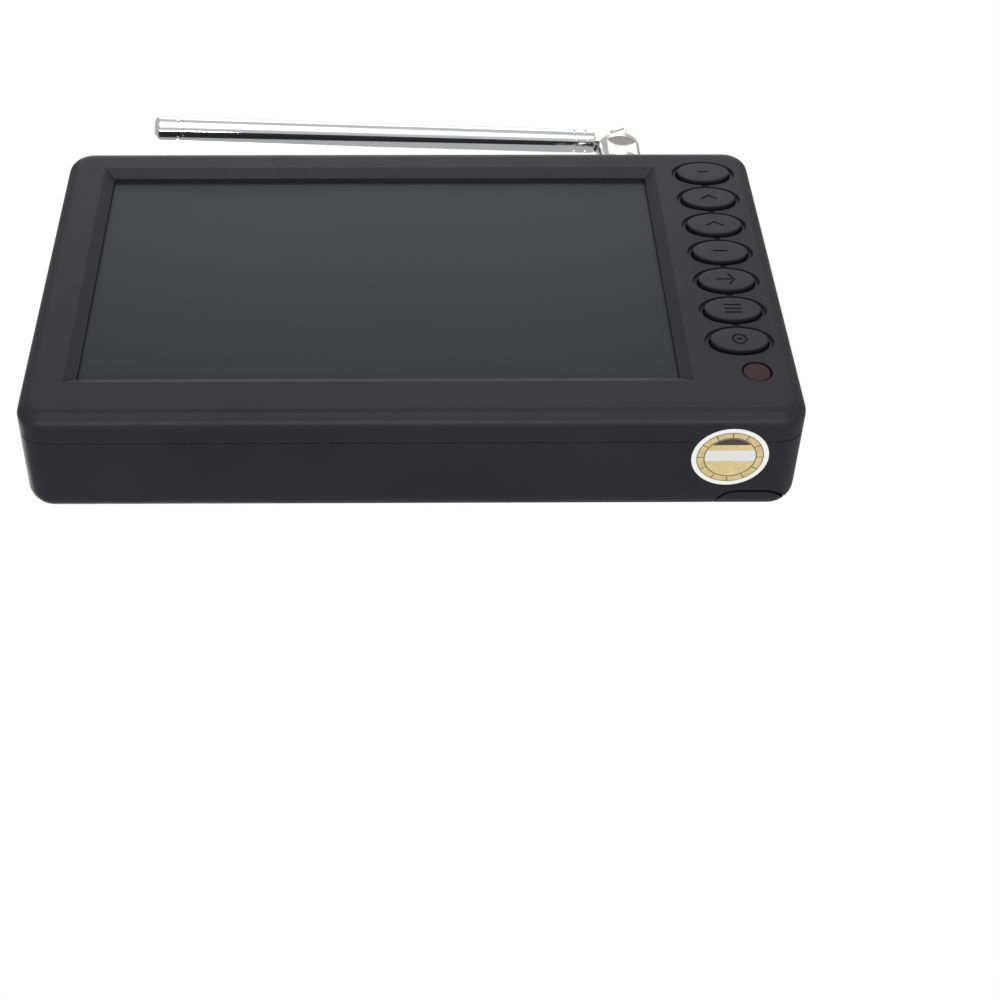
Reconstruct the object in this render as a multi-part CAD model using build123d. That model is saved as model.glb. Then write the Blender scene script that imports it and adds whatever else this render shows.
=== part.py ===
from build123d import *
import os

# Portable television with a 5 inch widescreen panel, a kickstand and a telescopic aerial. Millimetres.
# Every piece is drawn with the set lying on its back: x to the viewer's right, y to the top edge,
# z out of the screen, z = 0 on the flat of the back. place() stands the pieces up for export, so
# that the set rests on its bottom edge at +Z up and its screen faces -Y.

# Case
CASE_W = 141.0
CASE_H = 82.0
CASE_T = 24.0
SEAM_Z = 18.0
WALL = 2.0
CORNER_R = 5.0
FRONT_FILLET = 2.6
REAR_FILLET = 4.6
LEG_SIDE_R = 7.0
LIP_T = 0.95
LIP_H = 1.2
FIT_GAP = 0.05
SEAM_BEVEL = 0.18
TOP_Y = CASE_H / 2
FRONT_INNER_Z = CASE_T - WALL

# Screen opening
WINDOW_W = 109.4
WINDOW_H = 61.8
WINDOW_X = -6.0
WINDOW_Y = 1.7
BEVEL_W = 2.1
BEVEL_D = 1.25

# Display stack
PANEL_W = 119.0
PANEL_H = 70.0
PANEL_X = -6.0
PANEL_Y = 1.5
GLASS_T = 1.2
BACKLIGHT_T = 2.4
BRACKET_T = 0.5
BACKLIGHT_Z = FRONT_INNER_Z - GLASS_T - BACKLIGHT_T
BRACKET_POSTS = [(-45.0, -36.3), (35.0, -36.3)]
BRACKET_POST_R = 2.2

# Buttons
BUTTON_COUNT = 7
BUTTON_X = 60.6
BUTTON_TOP_Y = 32.4
BUTTON_PITCH = 8.79
DISH_W = 12.9
DISH_H = 8.3
DISH_FLOOR_W = 12.3
DISH_FLOOR_H = 7.7
DISH_D = 0.6
CAP_W = 10.7
CAP_H = 6.4
CAP_GAP = 0.3
CAP_PROUD = 0.45
FLANGE_W = 12.6
FLANGE_H = 8.0
FLANGE_T = 0.8
STEM_R = 1.5
BUTTON_TRAVEL = 0.45
NOTCH_W = 1.2
MARK_D = 0.2
MARK_W = 0.5
BUTTON_YS = [BUTTON_TOP_Y - BUTTON_PITCH * i for i in range(BUTTON_COUNT)]

# Key board behind the buttons
KEY_BOARD_T = 1.2
KEY_BOARD_Z = 15.4
KEY_BOARD_X0 = 54.4
KEY_BOARD_X1 = 67.4
KEY_BOARD_Y0 = -37.6
KEY_BOARD_Y1 = 37.8
KEY_POSTS = [(57.2, -34.4), (57.2, -26.2)]
SWITCH_SIDE = 4.5
SWITCH_H = 1.5
PLUNGER_R = 1.1
PLUNGER_H = 0.4

# Remote control receiver
IR_X = 62.6
IR_Y = -28.9
IR_HOLE_R = 2.8
IR_LENS_R = 2.55

# Speakers in the back
SPEAKERS = {"left": (-35.0, 17.2), "right": (25.0, 17.2)}
DOME_R = 15.4
DOME_FACE_R = 13.3
DOME_H = 1.6
DOME_CAVITY_R = 12.9
DOME_SKIN = 1.4
HOLE_R = 0.55
HOLE_RING_STEP = 2.9
HOLE_RINGS = [1, 6, 12, 18, 25]
SPEAKER_R = 13.7
SPEAKER_RING_T = 1.2
BASKET_Z = 5.6
MAGNET_R = 7.5
MAGNET_T = 3.0

# Vents in the back
VENT_ROWS = 7
VENT_L = 20.7
VENT_H = 1.25
VENT_PITCH = 2.83
VENT_TOP_Y = -5.0
VENT_XS = [-20.4, -44.6]

# Rating label and seal sticker
LABEL_X = 25.6
LABEL_Y = -13.2
LABEL_W = 34.4
LABEL_H = 18.2
LABEL_T = 0.1
SEAL_X = 57.1
SEAL_Z = 14.2
SEAL_R = 6.95
SEAL_T = 0.12

# Kickstand
LEG_X0 = 55.6
LEG_X1 = 68.3
LEG_TAB_X = 62.0
LEG_STEP_Y = 8.8
LEG_SLANT = 5.0
LEG_T = 3.0
LEG_GAP = 0.3
LEG_WRAP_Z = 5.2
LEG_END_R = 4.0
LEG_FOOT_Y = -TOP_Y + LEG_T
PIVOT_Y = 11.4
PIVOT_Z = 1.45
BARREL_R = 1.4
PIN_R = 0.7
POCKET_WALL = 1.5
LUG_T = 2.4
LUG_R = 3.2
PIN_MARGIN = 0.4

# Main board
BOARD_X0 = -64.0
BOARD_X1 = 47.0
BOARD_Y0 = -34.0
BOARD_Y1 = 34.0
BOARD_Z = 11.0
BOARD_T = 1.6
BOARD_TOP = BOARD_Z + BOARD_T
BOARD_NOTCH_X = 36.0
BOARD_NOTCH_Y = 25.0
BOARD_POSTS = [(-58.0, 31.0), (-61.0, -31.0), (43.5, -31.0), (43.6, 20.4)]
POST_R = 2.4
PILOT_R = 0.8
SCREW_R = 0.75
SCREW_HEAD_R = 1.7
SCREW_HEAD_T = 1.0
BOARD_SCREW_L = 6.0
KEY_SCREW_L = 5.5
BRACKET_SCREW_L = 3.9
CHIP_X = -32.0
CHIP_Y = -13.0
TUNER_BOX = (16.0, 40.0, -8.0, 16.0)
TUNER_H = 4.6
BATTERY_BOX = (-5.0, 38.0, -35.5, -2.5)
BATTERY_Z0 = WALL
BATTERY_Z1 = 8.6

# Sockets in the left side
LEFT_X = -CASE_W / 2
DC_Y = 10.0
DC_Z = 7.6
DC_BORE_R = 2.85
DC_DEPTH = 9.5
AV_Y = -1.5
AV_Z = 8.2
AV_BORE_R = 1.8
AV_DEPTH = 13.0
USB_Y = -14.0
USB_Z = 7.4
USB_W = 13.2
USB_H = 5.9
SLIDER_Y = 22.0
SLIDER_Z = 8.6
SLIDER_TRAVEL = 3.0

# Aerial socket and swivel joint in the top side, in y along its axis
AERIAL_X = 47.4
AERIAL_Z = 6.4
COLLAR_R = 5.8
COLLAR_Y0 = 36.0
COLLAR_Y1 = 46.5
BUSH_R = 2.9
BUSH_Y0 = 26.0
PAD_Y0 = 31.0
PAD_HALF = 7.5
SOCKET_NUT_FLATS = 7.8
SOCKET_NUT_T = 2.0
THREAD_R = 4.3
THREAD_Y1 = 54.0
NUT_FLATS = 11.0
NUT_Y1 = 56.0
PLUG_R = 4.3
PLUG_Y1 = 57.2
FORK_R = 4.95
FORK_Y0 = 57.4
FORK_Y1 = 66.3
FORK_RIM = 1.9
FORK_FLAT = 3.7
FORK_SLOT = 3.3
FORK_SLOT_Y = 65.0
EAR_T = 2.9
EAR_R = 2.6
SPIGOT_R = 2.0
SPIGOT_Y1 = 61.0
RUNNING_GAP = 0.06
HINGE_Y = 69.0
HINGE_PIN_R = 1.1
EYE_R = 2.5

# Aerial rod, measured from the hinge pin along the rod
SWIVEL_ANGLE = 7.75
FOLD_ANGLE = 98.0
TONGUE_T = 3.1
FERRULE_0 = 5.4
FERRULE_1 = 12.0
FERRULE_R = 2.55
SPLICE_Y = 15.5
SECTION_END = 98.2
SECTION_STEP = 0.8
TIP_END = 104.0
SECTION_R = [2.6, 2.22, 1.84, 1.46]
SECTION_WALL = 0.3
ROD_R = 1.08
TIP_R = 2.65


def place(piece):
    """Stands a piece up: bottom edge of the case on the ground, screen facing -Y."""
    return Pos(0, CASE_T / 2, CASE_H / 2) * Rot(90, 0, 0) * piece


def save(name, *solids):
    """Writes one node, which holds one solid or a group of separate solids."""
    placed = [place(s) for s in solids]
    shape = placed[0] if len(placed) == 1 else Compound(children=placed)
    export_step(shape, f"parts/{name}.step")


def one(shape):
    """The single solid of a boolean result."""
    found = shape.solids()
    if len(found) != 1:
        raise ValueError(f"expected one solid, found {len(found)}")
    return found[0]


def block(x0, x1, y0, y1, z0, z1):
    return Pos((x0 + x1) / 2, (y0 + y1) / 2, (z0 + z1) / 2) * Box(x1 - x0, y1 - y0, z1 - z0)


def disc_z(x, y, z0, z1, r):
    return Pos(x, y, (z0 + z1) / 2) * Cylinder(r, z1 - z0)


def disc_y(x, z, y0, y1, r):
    return Pos(x, (y0 + y1) / 2, z) * Rot(90, 0, 0) * Cylinder(r, y1 - y0)


def disc_x(y, z, x0, x1, r):
    return Pos((x0 + x1) / 2, y, z) * Rot(0, 90, 0) * Cylinder(r, x1 - x0)


def tube_y(y0, y1, r_outer, r_inner):
    return disc_y(0, 0, y0, y1, r_outer) - disc_y(0, 0, y0 - 1, y1 + 1, r_inner)


def slab(inset, z0, z1):
    """The case outline, inset on every side, from z0 to z1."""
    outline = RectangleRounded(CASE_W - 2 * inset, CASE_H - 2 * inset, CORNER_R - inset)
    return Pos(0, 0, z0) * extrude(outline, z1 - z0)


def oval(width, height, z0, z1):
    return Pos(0, 0, z0) * extrude(Ellipse(width / 2, height / 2), z1 - z0)


def round_edges(solid, group, radius):
    return fillet(solid.edges().group_by(Axis.Z)[group], radius)


def round_leg_side(body, inset):
    """Gives the rear edge on the leg's side, inset like the body, its larger radius."""
    radius = LEG_SIDE_R - inset
    side = CASE_W / 2 - inset
    corner = block(side - radius, side + 1, -TOP_Y - 1, TOP_Y + 1, inset - 1, inset + radius)
    return body - (corner - disc_y(side - radius, inset + radius, -TOP_Y - 2, TOP_Y + 2, radius))


def case_outer():
    body = slab(0, 0, CASE_T)
    body = round_edges(body, -1, FRONT_FILLET)
    return round_leg_side(round_edges(body, 0, REAR_FILLET), 0)


def case_inner():
    body = round_edges(slab(WALL, WALL, FRONT_INNER_Z), 0, REAR_FILLET - WALL)
    return round_leg_side(body, WALL)


def seam_bevel():
    """A small V round the outside of the joint between the two shells."""
    ring = slab(-1, SEAM_Z - SEAM_BEVEL, SEAM_Z + SEAM_BEVEL)
    core = slab(0, SEAM_Z - 1, SEAM_Z + 1)
    edge = slab(SEAM_BEVEL, SEAM_Z - SEAM_BEVEL, SEAM_Z + SEAM_BEVEL)
    return (ring & core) - edge


def post(x, y, z0, z1, radius):
    return disc_z(x, y, z0, z1, radius) - disc_z(x, y, z0 - 1, z1 + 1, PILOT_R)


def seal_pocket():
    return disc_y(SEAL_X, SEAL_Z, -TOP_Y - 1, -TOP_Y + SEAL_T, SEAL_R + FIT_GAP)


def front_shell():
    shell = case_outer() & slab(-1, SEAM_Z, CASE_T + 1)
    shell -= case_inner()
    lip = slab(WALL - LIP_T, SEAM_Z - LIP_H, SEAM_Z) - slab(WALL, SEAM_Z - 2 * LIP_H, SEAM_Z + 1)
    shell += lip
    shell -= seam_bevel()
    shell -= screen_opening()
    shell -= button_openings()
    shell -= disc_z(IR_X, IR_Y, FRONT_INNER_Z - 1, CASE_T + 1, IR_HOLE_R)
    for x, y in BRACKET_POSTS:
        shell += post(x, y, BACKLIGHT_Z, FRONT_INNER_Z, BRACKET_POST_R)
    for x, y in KEY_POSTS:
        shell += post(x, y, KEY_BOARD_Z + KEY_BOARD_T, FRONT_INNER_Z, BRACKET_POST_R)
    for rib in panel_ribs():
        shell += rib
    return one(shell - seal_pocket())


def screen_opening():
    face = Pos(WINDOW_X, WINDOW_Y, CASE_T) * Rectangle(WINDOW_W + 2 * BEVEL_W, WINDOW_H + 2 * BEVEL_W)
    foot = Pos(WINDOW_X, WINDOW_Y, CASE_T - BEVEL_D) * Rectangle(WINDOW_W, WINDOW_H)
    through = Pos(WINDOW_X, WINDOW_Y, CASE_T - 2) * Box(WINDOW_W, WINDOW_H, 6)
    return loft([foot, face]) + through


def button_openings():
    """Seven shallow sloping dishes with an oval hole in each, joined by a narrow notch."""
    floor_z = CASE_T - DISH_D
    notch_x = NOTCH_W / 2
    cut = block(BUTTON_X - notch_x, BUTTON_X + notch_x, BUTTON_YS[-1], BUTTON_YS[0], floor_z, CASE_T + 1)
    for y in BUTTON_YS:
        floor = Pos(BUTTON_X, y, floor_z) * Ellipse(DISH_FLOOR_W / 2, DISH_FLOOR_H / 2)
        mouth = Pos(BUTTON_X, y, CASE_T) * Ellipse(DISH_W / 2, DISH_H / 2)
        cut += loft([floor, mouth])
        hole = oval(CAP_W + 2 * CAP_GAP, CAP_H + 2 * CAP_GAP, FRONT_INNER_Z - 1, CASE_T)
        cut += Pos(BUTTON_X, y, 0) * hole
    return cut


def panel_ribs():
    """Ribs on the inside of the front that keep the display in place."""
    left = PANEL_X - PANEL_W / 2
    top = PANEL_Y + PANEL_H / 2
    bottom = PANEL_Y - PANEL_H / 2
    z0 = BACKLIGHT_Z + 1
    ribs = [block(left - 1.2, left - 0.1, y - 8, y + 8, z0, FRONT_INNER_Z) for y in (-18, 20)]
    for x in (-40, 28):
        ribs.append(block(x - 9, x + 9, top + 0.1, top + 1.2, z0, FRONT_INNER_Z))
    ribs.append(block(-14, 4, bottom - 1.2, bottom - 0.1, z0 + 1.5, FRONT_INNER_Z))
    return ribs


def rear_shell():
    shell = case_outer() & slab(-1, -1, SEAM_Z)
    shell -= case_inner() - stand_housing() - socket_pad()
    shell -= slab(WALL - LIP_T - FIT_GAP, SEAM_Z - LIP_H - 2 * FIT_GAP, SEAM_Z + 1)
    shell -= seam_bevel()
    for x, y in SPEAKERS.values():
        shell += Pos(x, y, 0) * speaker_dome()
        shell -= Pos(x, y, 0) * speaker_cavity()
    shell -= vents()
    shell -= stand_pocket()
    shell -= socket_hole()
    for cut in port_holes():
        shell -= cut
    for x, y in BOARD_POSTS:
        shell += post(x, y, WALL - 0.5, BOARD_Z, POST_R)
    for rib in battery_ribs():
        shell += rib
    return one(shell - seal_pocket())


def speaker_dome():
    """Raised round grille with a sloping, softly rounded rim; its ring locates the speaker inside."""
    slope = Pos(0, 0, -DOME_H / 2) * Rot(180, 0, 0) * Cone(DOME_R, DOME_FACE_R, DOME_H)
    dome = fillet(slope.edges().sort_by(Axis.Z)[0], 0.7)
    root = disc_z(0, 0, 0, 0.6, DOME_R)
    ring = disc_z(0, 0, WALL - 0.5, WALL + 2, SPEAKER_R + SPEAKER_RING_T)
    ring -= disc_z(0, 0, WALL - 1, WALL + 3, SPEAKER_R + FIT_GAP)
    return dome + root + ring


def speaker_cavity():
    """The space in front of the cone and the rings of sound holes."""
    cut = disc_z(0, 0, DOME_SKIN - DOME_H, WALL + 0.01, DOME_CAVITY_R)
    for ring, count in enumerate(HOLE_RINGS):
        for i in range(count):
            spot = Rot(0, 0, 360 * i / count) * Pos(HOLE_RING_STEP * ring, 0, 0)
            cut += spot * disc_z(0, 0, -DOME_H - 1, 1, HOLE_R)
    return cut


def vents():
    slots = [
        Pos(x, VENT_TOP_Y - VENT_PITCH * row, 1) * Box(VENT_L, VENT_H, 4)
        for x in VENT_XS
        for row in range(VENT_ROWS)
    ]
    return slots


def leg_space(gap):
    """The leg's outline, grown by a gap: a tab at the hinge, the full width, the turned foot."""
    x0 = LEG_X0 - gap
    x1 = LEG_X1 + gap
    step_y = LEG_STEP_Y + 2 * gap
    depth = LEG_T + gap
    tab = block(x0, LEG_TAB_X + gap, 0, PIVOT_Y, -3, depth)
    back = block(x0, x1, -TOP_Y - 2, step_y, -3, depth)
    slant = Pos(x1, step_y, 0) * Rot(0, 0, 45) * Box(LEG_SLANT, LEG_SLANT, 20)
    outline = RectangleRounded(x1 - x0, 2 * (LEG_WRAP_Z + 2 * gap), LEG_END_R)
    foot_depth = TOP_Y + 2 + LEG_FOOT_Y + gap
    foot = Pos((x0 + x1) / 2, LEG_FOOT_Y + gap, 0) * Rot(90, 0, 0) * extrude(outline, foot_depth)
    return tab + (back - slant) + foot


def stand_leg():
    leg = leg_space(0) & case_outer()
    leg += disc_x(PIVOT_Y, PIVOT_Z, LEG_X0, LEG_TAB_X, BARREL_R)
    leg -= disc_x(PIVOT_Y, PIVOT_Z, LEG_X0 - 1, LEG_TAB_X + 1, PIN_R + RUNNING_GAP)
    return one(leg)


def stand_pin():
    x0 = LEG_X0 - LUG_T + PIN_MARGIN
    x1 = LEG_TAB_X + LUG_T - PIN_MARGIN
    return disc_x(PIVOT_Y, PIVOT_Z, x0, x1, PIN_R)


def stand_pocket():
    end_y = PIVOT_Y + BARREL_R + LEG_GAP
    hinge = block(LEG_X0 - LEG_GAP, LEG_TAB_X + LEG_GAP, 0, end_y, -3, LEG_T + LEG_GAP)
    return leg_space(LEG_GAP) + hinge + stand_pin()


def stand_housing():
    """The walls of the leg's pocket inside the case, with a lug for each end of the pin."""
    lugs = disc_x(PIVOT_Y, PIVOT_Z, LEG_X0 - LUG_T, LEG_TAB_X + LUG_T, LUG_R)
    return leg_space(LEG_GAP + POCKET_WALL) + lugs


def socket_pad():
    """Solid block that the aerial socket is bolted to."""
    x0 = AERIAL_X - PAD_HALF
    x1 = AERIAL_X + PAD_HALF
    return block(x0, x1, PAD_Y0, TOP_Y, 0, AERIAL_Z + PAD_HALF)


def socket_hole():
    bush = disc_y(AERIAL_X, AERIAL_Z, PAD_Y0 - 1, TOP_Y + 1, BUSH_R + FIT_GAP)
    return bush + disc_y(AERIAL_X, AERIAL_Z, COLLAR_Y0, TOP_Y + 1, COLLAR_R + FIT_GAP)


def port_holes():
    """Openings in the left side for the power, sound and data sockets and the power slider."""
    x0 = LEFT_X - 1
    x1 = LEFT_X + WALL + 0.5
    return [
        disc_x(DC_Y, DC_Z, x0, x1, DC_BORE_R + 0.75),
        disc_x(AV_Y, AV_Z, x0, x1, AV_BORE_R + 0.95),
        block(x0, x1, USB_Y - USB_W / 2 - 0.25, USB_Y + USB_W / 2 + 0.25,
              USB_Z - USB_H / 2 - 0.25, USB_Z + USB_H / 2 + 0.25),
        block(x0, x1, SLIDER_Y - 1.6 - SLIDER_TRAVEL / 2, SLIDER_Y + 1.6 + SLIDER_TRAVEL / 2,
              SLIDER_Z - 1.3, SLIDER_Z + 1.3),
    ]


def battery_ribs():
    x0, x1, y0, y1 = BATTERY_BOX
    return [
        block(x0 - 1.4, x0 - 0.2, y0 + 4, y1 - 4, WALL - 0.5, WALL + 3),
        block(x1 + 0.2, x1 + 1.4, y0 + 9, y1 - 4, WALL - 0.5, WALL + 3),
        block(x0 + 5, x1 - 5, y1 + 0.2, y1 + 1.2, WALL - 0.5, WALL + 3),
    ]


def lcd_panel():
    z0 = FRONT_INNER_Z - GLASS_T
    return Pos(PANEL_X, PANEL_Y, z0 + GLASS_T / 2) * Box(PANEL_W, PANEL_H, GLASS_T)


def lcd_backlight():
    """Moulded tray with a window for the light guide and a shallow step round its back."""
    tray = Pos(PANEL_X, PANEL_Y, BACKLIGHT_Z + BACKLIGHT_T / 2) * Box(PANEL_W, PANEL_H, BACKLIGHT_T)
    well = Pos(PANEL_X, PANEL_Y, BACKLIGHT_Z) * Box(PANEL_W - 8, PANEL_H - 8, 1.0)
    return tray - well


def lcd_bracket():
    """Pressed steel plate behind the display, with two screw ears and lightening windows."""
    z = BACKLIGHT_Z - BRACKET_T / 2
    plate = Pos(PANEL_X, PANEL_Y, z) * Box(PANEL_W - 14, PANEL_H - 2, BRACKET_T)
    for x, y in BRACKET_POSTS:
        plate += block(x - 4, x + 4, y - 2.2, y + 6, BACKLIGHT_Z - BRACKET_T, BACKLIGHT_Z)
        plate -= disc_z(x, y, 0, CASE_T, PILOT_R + 0.2)
    for x in (-42, -6, 30):
        window = RectangleRounded(26, 44, 4)
        plate -= Pos(x, PANEL_Y, z - 2) * extrude(window, 4)
    return one(plate)


def screw(x, y, seat_z, up, length):
    """Pan head screw with a cross recess; up is 1 if its head points to the front, -1 to the back."""
    shank = disc_z(0, 0, -length, 0, SCREW_R)
    head = fillet(disc_z(0, 0, 0, SCREW_HEAD_T, SCREW_HEAD_R).edges().sort_by(Axis.Z)[-1], 0.45)
    cross = Pos(0, 0, SCREW_HEAD_T) * (Box(1.8, 0.4, 0.9) + Box(0.4, 1.8, 0.9))
    turn = Rot(0, 0, 0) if up > 0 else Rot(180, 0, 0)
    return Pos(x, y, seat_z) * turn * one(shank + head - cross)


def ir_window():
    lens = disc_z(IR_X, IR_Y, FRONT_INNER_Z, CASE_T - 0.15, IR_LENS_R)
    lens = fillet(lens.edges().sort_by(Axis.Z)[-1], 0.35)
    return one(lens + disc_z(IR_X, IR_Y, FRONT_INNER_Z - 0.8, FRONT_INNER_Z, IR_LENS_R + 0.9))


def ir_receiver():
    z0 = KEY_BOARD_Z + KEY_BOARD_T
    body = block(IR_X - 2.5, IR_X + 2.5, IR_Y - 2.2, IR_Y + 2.2, z0, z0 + 2.4)
    eye = disc_z(IR_X, IR_Y, z0 + 2.4, z0 + 2.5, 1.6) + Pos(IR_X, IR_Y, z0 + 2.4) * Sphere(1.6)
    return one(body + eye)


def key_board():
    z1 = KEY_BOARD_Z + KEY_BOARD_T
    board = block(KEY_BOARD_X0, KEY_BOARD_X1, KEY_BOARD_Y0, KEY_BOARD_Y1, KEY_BOARD_Z, z1)
    board = chamfer(board.edges().filter_by(Axis.Z), 4.0)
    for x, y in KEY_POSTS:
        board -= disc_z(x, y, 0, CASE_T, PILOT_R + 0.2)
    return one(board)


def tact_switch(y):
    z0 = KEY_BOARD_Z + KEY_BOARD_T
    side = SWITCH_SIDE / 2
    body = block(BUTTON_X - side, BUTTON_X + side, y - side, y + side, z0, z0 + SWITCH_H)
    body = chamfer(body.edges().filter_by(Axis.Z), 0.4)
    return one(body + disc_z(BUTTON_X, y, z0 + SWITCH_H, z0 + SWITCH_H + PLUNGER_H, PLUNGER_R))


def chevron(sign):
    """A chevron of two strokes; sign 1 points to the top edge."""
    stroke = Box(2.2, MARK_W, 1)
    tilt = 35 * sign
    return Pos(-0.75, 0, 0) * Rot(0, 0, tilt) * stroke + Pos(0.75, 0, 0) * Rot(0, 0, -tilt) * stroke


def button_mark(index):
    """Plain symbols cut into the caps: lines, chevrons, an arrow, three bars and a ring."""
    if index in (0, 3):
        return Box(2.2 if index == 0 else 2.8, MARK_W, 1)
    if index in (1, 2):
        return chevron(1)
    if index == 4:
        head = Pos(1.0, 0, 0) * Rot(0, 0, -90) * chevron(1)
        return head + Pos(-0.4, 0, 0) * Box(3.4, MARK_W, 1)
    if index == 5:
        bar = Box(3.2, MARK_W, 1)
        return bar + Pos(0, 1.1, 0) * bar + Pos(0, -1.1, 0) * bar
    return Cylinder(1.5, 1) - Cylinder(1.0, 1) + Cylinder(0.4, 1)


def button(index):
    """Oval cap with a flange behind the front and a stem that meets its switch."""
    top = CASE_T + CAP_PROUD
    flange_top = FRONT_INNER_Z - FIT_GAP
    flange_foot = flange_top - FLANGE_T
    stem_foot = KEY_BOARD_Z + KEY_BOARD_T + SWITCH_H + PLUNGER_H + BUTTON_TRAVEL + FIT_GAP
    cap = oval(CAP_W, CAP_H, flange_foot, top)
    cap = fillet(cap.edges().sort_by(Axis.Z)[-1], 0.3)
    cap += oval(FLANGE_W, FLANGE_H, flange_foot, flange_top)
    cap += disc_z(0, 0, stem_foot, flange_foot, STEM_R)
    cap -= Pos(0, 0, top - MARK_D + 0.5) * button_mark(index)
    return Pos(BUTTON_X, BUTTON_YS[index], 0) * one(cap)


def speaker_frame():
    """Pressed basket: a flat rim, a sloping wall with windows and a back plate."""
    rim = disc_z(0, 0, WALL, WALL + 0.8, SPEAKER_R)
    wall = Pos(0, 0, (WALL + BASKET_Z) / 2) * Cone(SPEAKER_R - 0.6, MAGNET_R + 0.6, BASKET_Z - WALL)
    plate = disc_z(0, 0, BASKET_Z, BASKET_Z + 0.8, MAGNET_R + 0.6)
    hollow = Pos(0, 0, (WALL + BASKET_Z) / 2) * Cone(SPEAKER_R - 1.4, MAGNET_R - 0.2, BASKET_Z - WALL)
    basket = rim + wall + plate - hollow
    for i in range(6):
        window = Pos(10.4, 0, WALL + 2.3) * Box(6, 5, 1.6)
        basket -= Rot(0, 0, 60 * i + 30) * window
    return one(basket)


def speaker_magnet():
    z0 = BASKET_Z + 0.8
    return chamfer(disc_z(0, 0, z0, z0 + MAGNET_T, MAGNET_R).edges().sort_by(Axis.Z)[-1], 0.4)


def speaker_cone():
    """Paper cone with a dust cap and its coil, facing the sound holes."""
    sheet = 0.35
    edge_r = SPEAKER_R - 2.15
    edge_z = WALL + 0.1
    neck_r = 3.2
    neck_z = WALL + 2.1
    outline = [(edge_r, edge_z), (neck_r, neck_z), (neck_r, neck_z + sheet), (edge_r, edge_z + sheet)]
    section = make_face(Polyline(*[(r, 0, z) for r, z in outline], close=True))
    cone = revolve(section, Axis.Z)
    cap = disc_z(0, 0, neck_z - 0.1, neck_z + sheet, neck_r + 0.05)
    coil = disc_z(0, 0, neck_z, BASKET_Z - 0.1, neck_r - 0.4)
    return one(cone + cap + coil)


def lead(points, radius, diameter):
    """A round lead along straight runs with tangent arcs."""
    path = FilletPolyline(*points, radius=radius)
    start = Plane(origin=path @ 0, z_dir=path % 0)
    return sweep(start * Circle(diameter / 2), path=path)


def speaker_leads(x, y):
    """Two thin leads from the basket's edge to the main board's back."""
    leads = []
    for side in (-0.8, 0.8):
        points = [(x + side, y - 9.4, 7.2), (x + side, y - 12.6, 7.2), (x + side, y - 12.6, BOARD_Z - 1.2)]
        leads.append(lead(points, 1.4, 0.9))
    return leads


def main_board():
    board = block(BOARD_X0, BOARD_X1, BOARD_Y0, BOARD_Y1, BOARD_Z, BOARD_TOP)
    board -= block(BOARD_NOTCH_X, BOARD_X1 + 1, BOARD_NOTCH_Y, BOARD_Y1 + 1, 0, CASE_T)
    for x, y in BOARD_POSTS:
        board -= disc_z(x, y, 0, CASE_T, PILOT_R + 0.2)
    return one(board)


def main_chip():
    return Pos(CHIP_X, CHIP_Y, BOARD_Z - 0.5) * Box(15, 15, 1.0)


def heat_sink():
    """Finned block on the back of the processor, behind the vents."""
    sink = Pos(CHIP_X, CHIP_Y, BOARD_Z - 1.5) * Box(20, 18, 1.0)
    for i in range(8):
        sink += Pos(CHIP_X - 9.1 + 2.6 * i, CHIP_Y, BOARD_Z - 3.4) * Box(1.0, 18, 3.0)
    return one(sink)


def tuner_can():
    x0, x1, y0, y1 = TUNER_BOX
    can = block(x0, x1, y0, y1, BOARD_TOP, BOARD_TOP + TUNER_H)
    can = fillet(can.edges().filter_by(Axis.Z), 0.8)
    lid = block(x0 + 1, x1 - 1, y0 + 1, y1 - 1, BOARD_TOP + TUNER_H, BOARD_TOP + TUNER_H + 0.3)
    return one(can + lid)


def capacitors():
    """Small cans standing on the front of the main board."""
    spots = [(-54, 22), (-46, 26), (-54, 8), (2, 24), (-52, -24)]
    return [fillet(disc_z(x, y, BOARD_TOP, BOARD_TOP + 4.4, 2.5).edges().sort_by(Axis.Z)[-1], 0.4)
            for x, y in spots]


def board_connectors():
    """Headers that the leads and ribbons end in."""
    back = [block(x - 2.4, x + 2.4, y - 14.4, y - 10.8, BOARD_Z - 1.2, BOARD_Z) for x, y in SPEAKERS.values()]
    battery = block(-12.6, -7.6, -31.2, -27.0, BOARD_Z - 2.4, BOARD_Z)
    display = block(-18, 8, -31.4, -28.4, BOARD_TOP, BOARD_TOP + 1.4)
    keys = block(41.4, 44.6, -14, -4, BOARD_TOP, BOARD_TOP + 1.4)
    return back + [battery, display, keys]


def battery_pack():
    x0, x1, y0, y1 = BATTERY_BOX
    pack = block(x0, x1, y0, y1, BATTERY_Z0, BATTERY_Z1)
    pack = fillet(pack.edges().filter_by(Axis.Y), 2.0)
    return one(pack)


def battery_lead():
    """Two leads from the end of the pack to the header beside it."""
    leads = []
    for y in (-29.8, -28.4):
        points = [(BATTERY_BOX[0], y, 5.6), (-10.1, y, 5.6), (-10.1, y, BOARD_Z - 2.4)]
        leads.append(lead(points, 2.0, 1.1))
    return leads


def ribbon(points, radius, width, thickness, across):
    """A flat ribbon: its section is swept along straight runs and arcs."""
    path = FilletPolyline(*points, radius=radius)
    start = Plane(origin=path @ 0, z_dir=path % 0, x_dir=across)
    return sweep(start * Rectangle(width, thickness), path=path)


def lcd_ribbon():
    edge = PANEL_Y - PANEL_H / 2
    z_display = BACKLIGHT_Z + 0.7
    z_board = BOARD_TOP + 0.7
    bend_y = edge - 3.2
    points = [(-5, edge, z_display), (-5, bend_y, z_display), (-5, bend_y, z_board), (-5, -31.4, z_board)]
    return ribbon(points, 1.6, 24, 0.25, (1, 0, 0))


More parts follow.
